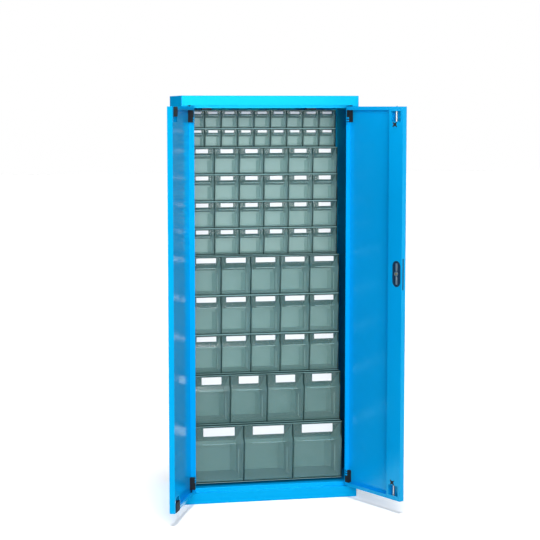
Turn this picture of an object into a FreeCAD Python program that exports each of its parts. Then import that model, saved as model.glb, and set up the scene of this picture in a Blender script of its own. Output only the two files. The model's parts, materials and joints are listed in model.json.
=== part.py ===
import FreeCAD, Part
import Sketcher
import os
import re

# Steel storage cabinet with two hinged doors and eleven rows of clear tilting bins.
# Frame: X to the right, Y to the back, Z up. The origin is under the middle of the base.
# The doors are stored open, the bins shut and the lock rods drawn in.

# Driving sizes, in millimetres, and the two angles at which the doors stand, in degrees.
SIZES = {
    # Folded sheet of the carcass and the doors.
    "sheet": 1.0,
    "post_width": 24.0,
    "plinth_height": 44.0,
    "riser_height": 15.0,
    "header_height": 38.0,
    "lintel_drop": 11.0,
    "back_flange": 20.0,
    # Space that the bin rows take in the carcass.
    "module_width": 618.0,
    "module_side_gap": 48.5,
    "module_front_gap": 57.0,
    "module_floor_gap": 10.0,
    "module_top_gap": 8.0,
    "rail_depth": 30.0,
    "rail_width": 40.0,
    "rail_sheet": 1.5,
    "rail_spacing": 440.0,
    "rear_space": 87.0,
    # Doors and their pivots.
    "door_depth": 22.0,
    "door_stop_gap": 4.0,
    "door_post_gap": 1.5,
    "door_middle_gap": 3.0,
    "door_end_gap": 5.0,
    "door_lip": 14.0,
    "pivot_from_post": 8.0,
    "pivot_from_front": 4.0,
    "left_opening": 112.0,
    "right_opening": 117.0,
    "hinge_pin_radius": 2.0,
    "hinge_pin_reach": 34.0,
    "hinge_pin_fit": 0.05,
    "hinge_hole_gap": 0.6,
    "hinge_foot_width": 12.0,
    "hinge_foot_depth": 14.0,
    "hinge_foot_sheet": 2.0,
    "hinge_block_width": 17.0,
    "hinge_block_height": 48.0,
    "hinge_block_inset": 1.0,
    # Stiffener channel along the free edge of each door.
    "stiffener_width": 79.0,
    "window_width": 53.0,
    "window_height": 40.0,
    "window_end_gap": 18.0,
    "catch_height": 38.0,
    "catch_plate": 3.0,
    "catch_gap": 1.0,
    # Lock on the right door.
    "lock_height": 948.0,
    "lock_from_edge": 30.0,
    "lock_slot_width": 47.0,
    "lock_slot_height": 103.0,
    "lock_case_width": 52.0,
    "lock_case_height": 122.0,
    "lock_case_depth": 14.0,
    "fore_end_width": 6.0,
    "spindle_radius": 4.0,
    "spindle_fit": 0.05,
    "spindle_hole_gap": 0.8,
    "cam_radius": 10.0,
    "cam_thickness": 2.5,
    "handle_hub_radius": 15.0,
    "handle_hub_height": 3.0,
    "handle_length": 112.0,
    "handle_width": 20.0,
    "handle_thickness": 13.0,
    "handle_door_gap": 0.5,
    # Lock rods and their guides.
    "rod_radius": 4.0,
    "rod_from_edge": 44.0,
    "rod_from_front": 13.0,
    "rod_tip": 3.0,
    "rod_fit": 0.05,
    "rod_hole_gap": 1.0,
    "rod_case_reach": 24.0,
    "rod_throw": 14.0,
    "guide_width": 24.0,
    "guide_height": 22.0,
    "guide_from_window": 1.0,
    # Bin housings, one moulding for each row.
    "housing_end": 4.0,
    "housing_divider": 3.0,
    "housing_floor": 2.5,
    "housing_roof": 2.5,
    "housing_back": 2.5,
    "screw_radius": 1.75,
    "screw_length": 9.0,
    "screw_head_radius": 4.0,
    "screw_head_height": 2.0,
    "screw_hole_gap": 0.15,
    # Bins, and the trunnions that they tilt on.
    "bin_side_gap": 0.8,
    "bin_floor_gap": 1.5,
    "bin_roof_gap": 2.0,
    "bin_rear_gap": 3.0,
    "bin_wall": 1.8,
    "front_setback": 1.0,
    "ledge_lip": 2.2,
    "tilt_setback": 8.0,
    "tilt_rise": 7.0,
    "trunnion_radius": 2.5,
    "trunnion_bite": 1.2,
    "trunnion_fit": 0.05,
    # Height and depth of the rows, by the number of bins in them.
    "nine_row_height": 76.0,
    "nine_row_depth": 61.0,
    "six_row_height": 110.0,
    "six_row_depth": 94.0,
    "five_row_height": 161.0,
    "five_row_depth": 131.0,
    "four_row_height": 203.0,
    "four_row_depth": 165.0,
    "three_row_height": 236.0,
    "three_row_depth": 194.0,
    # How far a cutting solid runs past what it cuts.
    "overrun": 5.0,
}

# Bins in each kind of row, and the rows from the top down.
BIN_COUNTS = {"nine": 9, "six": 6, "five": 5, "four": 4, "three": 3}
ROWS = ["nine"] * 2 + ["six"] * 4 + ["five"] * 3 + ["four", "three"]
# Rows of these kinds have so many small bins that one node holds the whole row.
GROUPED_KINDS = ("nine", "six")

# Shape of a bin as shares of its row height, and of its toe as shares of the tilt axis's rise.
LEDGE_REACH_SHARE = 0.08
LEDGE_HEIGHT_SHARE = 0.69
LEDGE_ROOT_SHARE = 0.785
BIN_BACK_SHARE = 0.56
TOE_FLAT_SHARE = 0.3
TOE_REACH_SHARE = 0.95
TOE_DROP_SHARE = 0.31
# Height of the housing screws as a share of the row height.
SCREW_HEIGHT_SHARE = 0.5

# Sizes and places that follow from the driving ones.
LAYOUT = {
    "deepest_row": "max(" + "; ".join(f"{kind}_row_depth" for kind in BIN_COUNTS) + ")",
    "cabinet_width": "module_width + 2 * module_side_gap + 2 * sheet",
    "cabinet_depth": "module_front_gap + deepest_row + rail_depth + rear_space + 2 * sheet",
    "side_face": "cabinet_width / 2",
    "side_inner": "side_face - sheet",
    "front_face": "-cabinet_depth / 2",
    "back_face": "cabinet_depth / 2",
    "module_back": "front_face + module_front_gap + deepest_row",
    "stop_plane": "front_face + door_depth + door_stop_gap",
    "floor_top": "plinth_height + riser_height",
    "module_base": "floor_top + module_floor_gap",
    "post_inner": "side_face - post_width",
    "pivot_x": "post_inner - pivot_from_post",
    "pivot_y": "front_face + pivot_from_front",
    "hinge_edge": "door_post_gap - pivot_from_post",
    "free_edge": "pivot_x - door_middle_gap / 2",
    "door_front": "-pivot_from_front",
    "door_rim": "door_depth - pivot_from_front",
    "door_base": "plinth_height + door_end_gap",
    "lock_x": "free_edge - lock_from_edge",
    "rod_x": "free_edge - rod_from_edge",
    "rod_y": "rod_from_front - pivot_from_front",
    "case_back": "door_rim - sheet",
    "case_front": "case_back - lock_case_depth",
    "case_top": "lock_height + lock_case_height / 2",
    "case_base": "lock_height - lock_case_height / 2",
    "bin_base": "housing_floor + bin_floor_gap",
    "tilt_height": "bin_base + tilt_rise",
    "trunnion_length": "bin_side_gap + trunnion_bite",
}
for number in range(len(ROWS), 0, -1):
    below = "module_base" if number == len(ROWS) else f"row_{number + 1}_top"
    LAYOUT[f"row_{number}_base"] = below
    LAYOUT[f"row_{number}_top"] = f"row_{number}_base + {ROWS[number - 1]}_row_height"
LAYOUT["header_base"] = "row_1_top + module_top_gap + lintel_drop"
LAYOUT["cabinet_height"] = "header_base + header_height"
LAYOUT["door_top"] = "header_base - door_end_gap"
for kind, count in BIN_COUNTS.items():
    LAYOUT[f"{kind}_pitch"] = f"(module_width - 2 * housing_end + housing_divider) / {count}"
    LAYOUT[f"{kind}_bin_width"] = f"{kind}_pitch - housing_divider - 2 * bin_side_gap"
    LAYOUT[f"{kind}_row_front"] = f"module_back - {kind}_row_depth"

doc = FreeCAD.newDocument("storage_cabinet")
sizes_sheet = doc.addObject("Spreadsheet::Sheet", "Sizes")
layout_sheet = doc.addObject("Spreadsheet::Sheet", "Layout")


def formula(text):
    """Put the sheet's name before every size that a formula uses."""

    def with_sheet(match):
        word = match.group(0)
        if word in SIZES:
            return f"Sizes.{word}"
        if word in LAYOUT:
            return f"Layout.{word}"
        return word

    return re.sub(r"[a-z][a-z0-9_]*", with_sheet, text)


def fill_sheet(sheet, cells):
    """Write one named cell per row."""
    for row, (name, content) in enumerate(cells.items(), start=1):
        sheet.set(f"A{row}", name)
        sheet.set(f"B{row}", content)
        sheet.setAlias(f"B{row}", name)
    doc.recompute()


fill_sheet(sizes_sheet, {name: str(size) for name, size in SIZES.items()})
fill_sheet(layout_sheet, {name: "=" + formula(text) for name, text in LAYOUT.items()})


def box(x, y, z):
    """Block between two corners, each axis given as a low and a high formula."""
    block = doc.addObject("Part::Box", "Block")
    for side, axis, (low, high) in (("Length", "x", x), ("Width", "y", y), ("Height", "z", z)):
        block.setExpression(side, formula(f"({high}) - ({low})"))
        block.setExpression(f"Placement.Base.{axis}", formula(low))
    return block


def rod(radius, start, length, turn=None):
    """Round bar from a start point, along Z unless it is turned about an axis first."""
    bar = doc.addObject("Part::Cylinder", "Bar")
    bar.setExpression("Radius", formula(radius))
    bar.setExpression("Height", formula(length))
    if turn:
        bar.Placement = FreeCAD.Placement(FreeCAD.Vector(), turn)
    for axis, place in zip("xyz", start):
        bar.setExpression(f"Placement.Base.{axis}", formula(place))
    return bar


ALONG_X = FreeCAD.Rotation(FreeCAD.Vector(0, 1, 0), 90)
ALONG_Y = FreeCAD.Rotation(FreeCAD.Vector(1, 0, 0), -90)


def group(pieces):
    """Several solids as one object."""
    together = doc.addObject("Part::Compound", "Group")
    together.Links = pieces
    return together


def fuse(pieces):
    """Several solids joined into one."""
    joined = doc.addObject("Part::MultiFuse", "Joined")
    joined.Shapes = pieces
    joined.Refine = True
    return joined


def cut(base, tools):
    """A solid with the tools taken out of it."""
    result = doc.addObject("Part::Cut", "Cut")
    result.Base = base
    result.Tool = tools[0] if len(tools) == 1 else group(tools)
    result.Refine = True
    return result


def copy_at(source, x="0", y="0", z="0"):
    """A copy of a piece that keeps to its source and stands at its own place."""
    copy = doc.addObject("App::Link", "Copy")
    copy.LinkedObject = source
    for axis, place in zip("xyz", (x, y, z)):
        copy.setExpression(f"Placement.Base.{axis}", formula(place))
    return copy


def mirrored(source):
    """The other hand of a piece, across the middle of the cabinet."""
    other = doc.addObject("Part::Mirroring", "Other")
    other.Source = source
    other.Normal = FreeCAD.Vector(1, 0, 0)
    return other


nodes = []


def name_node(piece, label):
    """Give a finished sub-part the name that its file takes."""
    piece.Label = label
    nodes.append(piece)


def both_ends(low, high, depth):
    """Spans of a given depth at the low and the high end of a range."""
    return [(low, f"{low} + {depth}"), (f"{high} - {depth}", high)]


# Side panels: one folded sheet each, from the rear flange round the side to the box post at the front.
side_height = ("plinth_height", "header_base")
side_panel = fuse(
    [
        box(("-side_face", "-side_inner"), ("front_face", "back_face"), side_height),
        box(("-side_face", "-side_face + back_flange"), ("back_face - sheet", "back_face"), side_height),
        box(("-side_face", "-post_inner"), ("front_face", "front_face + sheet"), side_height),
        box(("-post_inner - sheet", "-post_inner"), ("front_face", "stop_plane"), side_height),
        box(("-side_face", "-post_inner"), ("stop_plane - sheet", "stop_plane"), side_height),
    ]
)
name_node(side_panel, "left_side_panel")
name_node(mirrored(side_panel), "right_side_panel")

# Back panel: a flat sheet that stands on the floor against the rear flanges.
inside_width = ("-side_inner", "side_inner")
back_panel = box(
    inside_width,
    ("back_face - 2 * sheet", "back_face - sheet"),
    ("floor_top", "cabinet_height - sheet"),
)
name_node(back_panel, "back_panel")

# Keeper holes for the lock rods, where the closed right door brings them.
keeper = ("pivot_x - rod_x", "front_face + rod_from_front")
keeper_radius = "rod_radius + rod_hole_gap"

# Header: a cap with skirts all round, an under-return and the lintel that the doors close against.
full_width = ("-side_face", "side_face")
full_depth = ("front_face", "back_face")
header_skirt = ("header_base", "cabinet_height")
header = fuse(
    [box(full_width, full_depth, ("cabinet_height - sheet", "cabinet_height"))]
    + [box(span, full_depth, header_skirt) for span in both_ends("-side_face", "side_face", "sheet")]
    + [box(full_width, span, header_skirt) for span in both_ends("front_face", "back_face", "sheet")]
    + [
        box(full_width, ("front_face", "stop_plane + sheet"), ("header_base", "header_base + sheet")),
        box(
            inside_width,
            ("stop_plane", "stop_plane + sheet"),
            ("header_base - lintel_drop", "header_base + sheet"),
        ),
    ]
)
header_keeper = rod(keeper_radius, (*keeper, "header_base - overrun"), "sheet + 2 * overrun")
name_node(cut(header, [header_keeper]), "top_header")

# Base: a closed plinth with the door ledge in front, the door-stop riser and the raised floor.
base_shell = fuse(
    [
        box(full_width, full_depth, ("0", "plinth_height")),
        box(inside_width, ("stop_plane", "back_face - sheet"), ("sheet", "floor_top")),
    ]
)
base_hollow = fuse(
    [
        box(inside_width, ("front_face + sheet", "back_face - sheet"), ("sheet", "plinth_height - sheet")),
        box(
            ("-side_inner + sheet", "side_inner - sheet"),
            ("stop_plane + sheet", "back_face - 2 * sheet"),
            ("sheet", "floor_top - sheet"),
        ),
    ]
)
base_keeper = rod(keeper_radius, (*keeper, "plinth_height - sheet - overrun"), "sheet + 2 * overrun")
name_node(cut(base_shell, [base_hollow, base_keeper]), "base_plinth")

# Mounting rails: two upright channels from the floor to the top, which carry the housings.
rail_height = ("floor_top", "cabinet_height - sheet")
rail_depth = ("module_back", "module_back + rail_depth")
rail_shell = cut(
    box(("-rail_width / 2", "rail_width / 2"), rail_depth, rail_height),
    [
        box(
            ("-rail_width / 2 + rail_sheet", "rail_width / 2 - rail_sheet"),
            ("module_back + rail_sheet", "module_back + rail_depth + overrun"),
            ("floor_top - overrun", "cabinet_height + overrun"),
        )
    ],
)
screw_heights = [
    f"row_{number}_base + {ROWS[number - 1]}_row_height * {SCREW_HEIGHT_SHARE}"
    for number in range(1, len(ROWS) + 1)
]
screw_hole_radius = "screw_radius + screw_hole_gap"
rail_holes = [
    rod(screw_hole_radius, ("0", "module_back - overrun", height), "rail_depth", ALONG_Y)
    for height in screw_heights
]
rail = cut(rail_shell, rail_holes)
rail_places = ("-rail_spacing / 2", "rail_spacing / 2")
name_node(group([copy_at(rail, x=place) for place in rail_places]), "mounting_rails")

# Housing screws: a round head inside each housing, its shank through the back wall into the rail.
screw = fuse(
    [
        rod("screw_radius", ("0", "-screw_head_height", "0"), "screw_head_height + screw_length", ALONG_Y),
        rod("screw_head_radius", ("0", "-screw_head_height", "0"), "screw_head_height", ALONG_Y),
    ]
)
screws = [
    copy_at(screw, place, "module_back - housing_back", height)
    for place in rail_places
    for height in screw_heights
]
name_node(group(screws), "housing_screws")

# Frame hinges: a foot plate with a pin, on the plinth ledge and under the header at each post.
foot_width = ("-pivot_x - hinge_foot_width / 2", "-pivot_x + hinge_foot_width / 2")
foot_depth = ("front_face + sheet", "front_face + sheet + hinge_foot_depth")
pin_length = "door_end_gap + hinge_pin_reach"
left_hinges = [
    fuse(
        [
            box(foot_width, foot_depth, ("plinth_height", "plinth_height + hinge_foot_sheet")),
            rod("hinge_pin_radius", ("-pivot_x", "pivot_y", "plinth_height"), pin_length),
        ]
    ),
    fuse(
        [
            box(foot_width, foot_depth, ("header_base - hinge_foot_sheet", "header_base")),
            rod("hinge_pin_radius", ("-pivot_x", "pivot_y", f"header_base - ({pin_length})"), pin_length),
        ]
    ),
]
name_node(group(left_hinges + [mirrored(hinge) for hinge in left_hinges]), "frame_hinges")


# Doors are modelled shut about their pivot, X from the pivot to the free edge, then hung at the open angle.
DOORS = {"left": "-left_opening", "right": "right_opening"}


def hang_on_door(side, piece, label):
    """Name a door piece and hang it at the pivot; pieces of the right door are the other hand."""
    hung = copy_at(piece if side == "left" else mirrored(piece))
    hung.setExpression("Placement.Base.x", formula("-pivot_x" if side == "left" else "pivot_x"))
    hung.setExpression("Placement.Base.y", formula("pivot_y"))
    hung.setExpression("Placement.Rotation.Angle", formula(DOORS[side]))
    name_node(hung, label)


door_width = ("hinge_edge", "free_edge")
door_thickness = ("door_front", "door_rim")
door_height = ("door_base", "door_top")
skin_inside = "door_front + sheet"
stiffener_side = "free_edge - stiffener_width"


def door_skin(openings):
    """Folded pan with a lip along its top and bottom edge, less the openings of its lock."""
    pan = cut(
        box(door_width, door_thickness, door_height),
        [
            box(
                ("hinge_edge + sheet", "free_edge - sheet"),
                (skin_inside, "door_rim + overrun"),
                ("door_base + sheet", "door_top - sheet"),
            )
        ],
    )
    lips = [
        box(("hinge_edge", stiffener_side), ("door_rim - sheet", "door_rim"), span)
        for span in both_ends("door_base", "door_top", "door_lip")
    ]
    pin_hole = rod(
        "hinge_pin_radius + hinge_hole_gap",
        ("0", "0", "door_base - overrun"),
        "door_top - door_base + 2 * overrun",
    )
    return cut(fuse([pan, *lips]), [pin_hole, *openings])


def stiffener(openings):
    """Channel that closes the free edge of the door to a box."""
    length = ("door_base + sheet", "door_top - sheet")
    channel = fuse(
        [
            box((stiffener_side, "free_edge - sheet"), ("door_rim - sheet", "door_rim"), length),
            box((stiffener_side, f"{stiffener_side} + sheet"), (skin_inside, "door_rim"), length),
        ]
    )
    return cut(channel, openings)


window_width = (
    "free_edge - stiffener_width / 2 - window_width / 2",
    "free_edge - stiffener_width / 2 + window_width / 2",
)
window_depth = ("door_rim - sheet - overrun", "door_rim + overrun")
lower_window = ("door_base + window_end_gap", "door_base + window_end_gap + window_height")
upper_window = ("door_top - window_end_gap - window_height", "door_top - window_end_gap")
windows = [box(window_width, window_depth, span) for span in (lower_window, upper_window)]


def hinge_blocks():
    """Plastic blocks in the hinge corners, clear of the lips, bored for the frame pins."""
    block_depth = (skin_inside, "door_rim - hinge_block_inset")
    spans = both_ends("door_base + door_lip", "door_top - door_lip", "hinge_block_height")
    blocks = [
        box(("hinge_edge + sheet", "hinge_edge + hinge_block_width"), block_depth, span) for span in spans
    ]
    bore_radius = "hinge_pin_radius + hinge_pin_fit"
    bore_length = "hinge_pin_reach + overrun"
    bores = [
        rod(bore_radius, ("0", "0", "door_base"), bore_length),
        rod(bore_radius, ("0", "0", f"door_top - ({bore_length})"), bore_length),
    ]
    return group([cut(block, [bore]) for block, bore in zip(blocks, bores)])


# Left door: it closes first, and a plastic catch at each end of its stiffener holds it.
def catch(window, plate_height):
    """Plate on the stiffener, from the end of the door, with a foot through the window to the skin."""
    plate_width = (f"{window_width[0]} + catch_gap", f"{window_width[1]} - catch_gap")
    plate = box(plate_width, ("door_rim", "door_rim + catch_plate"), plate_height)
    foot = box(plate_width, (skin_inside, "door_rim + catch_plate"), window)
    return fuse([plate, foot])


lower_catch = catch(
    (f"{lower_window[0]} + catch_gap", "door_base + catch_height"),
    ("door_base + sheet", "door_base + catch_height"),
)
upper_catch = catch(
    ("door_top - catch_height", f"{upper_window[1]} - catch_gap"),
    ("door_top - catch_height", "door_top - sheet"),
)
hang_on_door("left", door_skin([]), "left_door_skin")
hang_on_door("left", stiffener(windows), "left_door_stiffener")
hang_on_door("left", hinge_blocks(), "left_door_hinge_blocks")
hang_on_door("left", group([lower_catch, upper_catch]), "left_door_catches")

# Right door: holes for the two rods and the spindle, and a slot in its edge for the fore-end.
rod_holes = [
    rod("rod_radius + rod_hole_gap", ("rod_x", "rod_y", f"{end} - overrun"), "2 * overrun")
    for end in ("door_base", "door_top")
]
spindle_hole = rod(
    "spindle_radius + spindle_hole_gap",
    ("lock_x", "door_front - overrun", "lock_height"),
    "sheet + 2 * overrun",
    ALONG_Y,
)
fore_end_depth = (
    "(case_front + case_back - fore_end_width) / 2",
    "(case_front + case_back + fore_end_width) / 2",
)
fore_end_slot = box(
    ("free_edge - sheet - overrun", "free_edge + overrun"),
    fore_end_depth,
    ("case_base", "case_top"),
)
lock_window = fuse(
    [
        box(
            ("lock_x - lock_slot_width / 2", "lock_x + lock_slot_width / 2"),
            window_depth,
            (
                "lock_height - (lock_slot_height - lock_slot_width) / 2",
                "lock_height + (lock_slot_height - lock_slot_width) / 2",
            ),
        )
    ]
    + [
        rod(
            "lock_slot_width / 2",
            (
                "lock_x",
                window_depth[0],
                f"lock_height {sign} (lock_slot_height - lock_slot_width) / 2",
            ),
            "sheet + 2 * overrun",
            ALONG_Y,
        )
        for sign in "+-"
    ]
)
hang_on_door("right", door_skin([*rod_holes, spindle_hole, fore_end_slot]), "right_door_skin")
hang_on_door("right", stiffener([*windows, lock_window]), "right_door_stiffener")
hang_on_door("right", hinge_blocks(), "right_door_hinge_blocks")


# Rod guides: plastic blocks behind the stiffener, next to each window, bored for the rod.
def rod_guide(middle):
    """Block between the skin and the stiffener, centred on a height."""
    block = box(
        ("rod_x - guide_width / 2", "rod_x + guide_width / 2"),
        (skin_inside, "door_rim - sheet"),
        (f"{middle} - guide_height / 2", f"{middle} + guide_height / 2"),
    )
    bore = rod(
        "rod_radius + rod_fit",
        ("rod_x", "rod_y", f"{middle} - guide_height / 2 - overrun"),
        "guide_height + 2 * overrun",
    )
    return cut(block, [bore])


guide_offset = "guide_from_window + guide_height / 2"
guide_middles = (f"{lower_window[1]} + {guide_offset}", f"{upper_window[0]} - ({guide_offset})")
guides = group([rod_guide(middle) for middle in guide_middles])
hang_on_door("right", guides, "rod_guides")

# Lock case: sits in the stiffener, its fore-end in the slot of the door edge.
case_body = fuse(
    [
        box(
            ("free_edge - sheet - lock_case_width", "free_edge - sheet"),
            ("case_front", "case_back"),
            ("case_base", "case_top"),
        ),
        box(("free_edge - 2 * sheet", "free_edge"), fore_end_depth, ("case_base", "case_top")),
    ]
)
case_bores = [
    rod(
        "spindle_radius + spindle_fit",
        ("lock_x", "case_front - overrun", "lock_height"),
        "lock_case_depth + 2 * overrun",
        ALONG_Y,
    ),
    rod(
        "rod_radius + rod_fit",
        ("rod_x", "rod_y", "case_top - rod_case_reach - rod_throw"),
        "rod_case_reach + rod_throw + overrun",
    ),
    rod(
        "rod_radius + rod_fit",
        ("rod_x", "rod_y", "case_base - overrun"),
        "rod_case_reach + rod_throw + overrun",
    ),
]
hang_on_door("right", cut(case_body, case_bores), "lock_case")

# Lock handle: a lever on a round hub outside, which points inboard while unlocked, and the spindle
# through the case.
handle_back = "door_front - handle_door_gap"
lever_front = f"{handle_back} - handle_hub_height - handle_thickness"
lever_end = "lock_x - handle_length + handle_width"
handle = fuse(
    [
        rod(
            "spindle_radius",
            ("lock_x", handle_back, "lock_height"),
            f"case_back - ({handle_back})",
            ALONG_Y,
        ),
        rod(
            "handle_hub_radius",
            ("lock_x", f"{handle_back} - handle_hub_height", "lock_height"),
            "handle_hub_height",
            ALONG_Y,
        ),
        box(
            (lever_end, "lock_x"),
            (lever_front, f"{lever_front} + handle_thickness"),
            ("lock_height - handle_width / 2", "lock_height + handle_width / 2"),
        ),
    ]
    + [
        rod("handle_width / 2", (place, lever_front, "lock_height"), "handle_thickness", ALONG_Y)
        for place in (lever_end, "lock_x")
    ]
)
hang_on_door("right", handle, "lock_handle")

# Lock cam: the disc on the inner end of the spindle, seen through the oval window.
cam = rod("cam_radius", ("lock_x", "case_back", "lock_height"), "cam_thickness", ALONG_Y)
hang_on_door("right", cam, "lock_cam")

# Lock rods: drawn in, so that only the tips stand out of the door.
upper_rod = rod(
    "rod_radius",
    ("rod_x", "rod_y", "case_top - rod_case_reach"),
    "door_top + rod_tip - case_top + rod_case_reach",
)
lower_rod = rod(
    "rod_radius",
    ("rod_x", "rod_y", "door_base - rod_tip"),
    "case_base + rod_case_reach - door_base + rod_tip",
)
hang_on_door("right", upper_rod, "upper_lock_rod")
hang_on_door("right", lower_rod, "lower_lock_rod")


def cell_start(kind, index):
    """Left side of one bin's cell in a housing, from the housing's left end."""
    return f"housing_end + {index} * {kind}_pitch"


# Housings: an open-fronted moulding with a cell for each bin and a bore that all the trunnions turn in.
def housing(kind):
    """One row's housing, its front at Y zero and its underside at Z zero."""
    height = f"{kind}_row_height"
    depth = f"{kind}_row_depth"
    cells = [
        box(
            (cell_start(kind, index), f"{cell_start(kind, index + 1)} - housing_divider"),
            ("-overrun", f"{depth} - housing_back"),
            ("housing_floor", f"{height} - housing_roof"),
        )
        for index in range(BIN_COUNTS[kind])
    ]
    tilt_bore = rod(
        "trunnion_radius + trunnion_fit",
        ("-overrun", "tilt_setback", "tilt_height"),
        "module_width + 2 * overrun",
        ALONG_X,
    )
    screw_holes = [
        rod(
            screw_hole_radius,
            (f"module_width / 2 + {place}", f"{depth} - overrun", f"{height} * {SCREW_HEIGHT_SHARE}"),
            "2 * overrun",
            ALONG_Y,
        )
        for place in rail_places
    ]
    outside = box(("0", "module_width"), ("0", depth), ("0", height))
    return cut(outside, [*cells, tilt_bore, *screw_holes])


def outline(body, name, corners, offset):
    """Closed polygon in a body's YZ plane, each corner tied to two formulas."""
    sketch = body.newObject("Sketcher::SketchObject", name)
    plane = next(feature for feature in body.Origin.OriginFeatures if feature.Role == "YZ_Plane")
    sketch.AttachmentSupport = [(plane, "")]
    sketch.MapMode = "FlatFace"
    sketch.setExpression("AttachmentOffset.Base.z", formula(offset))
    points = [
        FreeCAD.Vector(*(sizes_sheet.evalExpression(formula(place)) for place in corner))
        for corner in corners
    ]
    following = [*range(1, len(points)), 0]
    for index, after in enumerate(following):
        sketch.addGeometry(Part.LineSegment(points[index], points[after]))
    for index, after in enumerate(following):
        sketch.addConstraint(Sketcher.Constraint("Coincident", index, 2, after, 1))
    for index, corner in enumerate(corners):
        for kind, place, distance in zip(("DistanceX", "DistanceY"), corner, points[index]):
            tie = sketch.addConstraint(Sketcher.Constraint(kind, -1, 1, index, 1, distance))
            sketch.setExpression(f"Constraints[{tie}]", formula(place))
    return sketch


def trunnion_sketch(body, name, offset):
    """Circle on the tilt axis in a plane across the bin."""
    sketch = body.newObject("Sketcher::SketchObject", name)
    plane = next(feature for feature in body.Origin.OriginFeatures if feature.Role == "YZ_Plane")
    sketch.AttachmentSupport = [(plane, "")]
    sketch.MapMode = "FlatFace"
    sketch.setExpression("AttachmentOffset.Base.z", formula(offset))
    values = [
        sizes_sheet.evalExpression(formula(size))
        for size in ("tilt_setback", "tilt_height", "trunnion_radius")
    ]
    centre = FreeCAD.Vector(values[0], values[1])
    circle = sketch.addGeometry(Part.Circle(centre, FreeCAD.Vector(0, 0, 1), values[2]))
    ties = [
        (Sketcher.Constraint("DistanceX", -1, 1, circle, 3, values[0]), "tilt_setback"),
        (Sketcher.Constraint("DistanceY", -1, 1, circle, 3, values[1]), "tilt_height"),
        (Sketcher.Constraint("Radius", circle, values[2]), "trunnion_radius"),
    ]
    for constraint, size in ties:
        tie = sketch.addConstraint(constraint)
        sketch.setExpression(f"Constraints[{tie}]", formula(size))
    return sketch


def pull(body, kind, sketch, length, reverse):
    """Pad or pocket of a sketch along the bin's width."""
    feature = body.newObject(kind, "Feature")
    feature.Profile = sketch
    feature.setExpression("Length", formula(length))
    feature.Reversed = reverse
    return feature


# Bins: a clear tray with an upright band for the label at the top of its front. Below the band the front
# slopes out to a finger ledge and leans back in to the toe, where a trunnion on each side carries the bin.
def tilt_bin(kind):
    """One bin in the axes of its housing, its left side at X zero."""
    height = f"{kind}_row_height"
    width = f"{kind}_bin_width"
    reach = f"{height} * {LEDGE_REACH_SHARE}"
    ledge_root = f"{height} * {LEDGE_ROOT_SHARE}"
    ledge_base = f"{height} * {LEDGE_HEIGHT_SHARE}"
    ledge_top = f"{ledge_base} + ledge_lip"
    front_top = f"{height} - housing_roof - bin_roof_gap"
    rear = f"{kind}_row_depth - housing_back - bin_rear_gap"
    toe_front = f"tilt_setback - tilt_rise * {TOE_REACH_SHARE}"
    toe_height = f"tilt_height - tilt_rise * {TOE_DROP_SHARE}"
    body = doc.addObject("PartDesign::Body", f"{kind}_bin")
    outside = outline(
        body,
        "Outside",
        [
            (f"tilt_setback - tilt_rise * {TOE_FLAT_SHARE}", "bin_base"),
            (rear, "bin_base"),
            (rear, f"{height} * {BIN_BACK_SHARE}"),
            ("front_setback + bin_wall", front_top),
            ("front_setback", front_top),
            ("front_setback", ledge_root),
            (f"-{reach}", ledge_top),
            (f"-{reach}", ledge_base),
            (toe_front, toe_height),
        ],
        "0",
    )
    pull(body, "PartDesign::Pad", outside, width, False)
    inside = outline(
        body,
        "Inside",
        [
            ("tilt_setback", "bin_base + bin_wall"),
            (f"{rear} - bin_wall", "bin_base + bin_wall"),
            (f"{rear} - bin_wall", f"{front_top} + overrun"),
            ("front_setback + bin_wall", f"{front_top} + overrun"),
            ("front_setback + bin_wall", f"{ledge_root} - bin_wall / 2"),
            (f"bin_wall - {reach}", f"{ledge_top} - bin_wall"),
            (f"{toe_front} + bin_wall", f"{toe_height} + bin_wall / 2"),
        ],
        "bin_wall",
    )
    pull(body, "PartDesign::Pocket", inside, f"{width} - 2 * bin_wall", True)
    pull(body, "PartDesign::Pad", trunnion_sketch(body, "LeftTrunnion", "0"), "trunnion_length", True)
    pull(body, "PartDesign::Pad", trunnion_sketch(body, "RightTrunnion", width), "trunnion_length", False)
    return body


housings = {kind: housing(kind) for kind in BIN_COUNTS}
bins = {kind: tilt_bin(kind) for kind in BIN_COUNTS}

# Rows from the top down: each housing against the rails, with its bins in their cells.
for number, kind in enumerate(ROWS, start=1):
    row_front = f"{kind}_row_front"
    row_base = f"row_{number}_base"
    name_node(copy_at(housings[kind], "-module_width / 2", row_front, row_base), f"housing_row_{number:02d}")
    row_bins = [
        copy_at(
            bins[kind],
            f"{cell_start(kind, index)} + bin_side_gap - module_width / 2",
            row_front,
            row_base,
        )
        for index in range(BIN_COUNTS[kind])
    ]
    if kind in GROUPED_KINDS:
        name_node(group(row_bins), f"bins_row_{number:02d}")
    else:
        for place, row_bin in enumerate(row_bins, start=1):
            name_node(row_bin, f"bin_row_{number:02d}_place_{place}")

doc.recompute()

# Nothing is written unless every object is sound.
for thing in doc.Objects:
    if "Invalid" in thing.State or "Error" in thing.State:
        raise RuntimeError(f"{thing.Label} did not compute: {thing.State}")
shapes = {piece.Label: Part.getShape(piece) for piece in nodes}
for label, shape in shapes.items():
    if shape.isNull() or not shape.isValid() or not shape.Solids:
        raise RuntimeError(f"{label} is not a valid solid")

os.makedirs("parts", exist_ok=True)
for label, shape in shapes.items():
    shape.exportStep(f"parts/{label}.step")
    print(label, len(shape.Solids), round(shape.Volume))
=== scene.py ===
import json
import math

import bmesh
import bpy
from mathutils import Matrix, Vector


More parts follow.
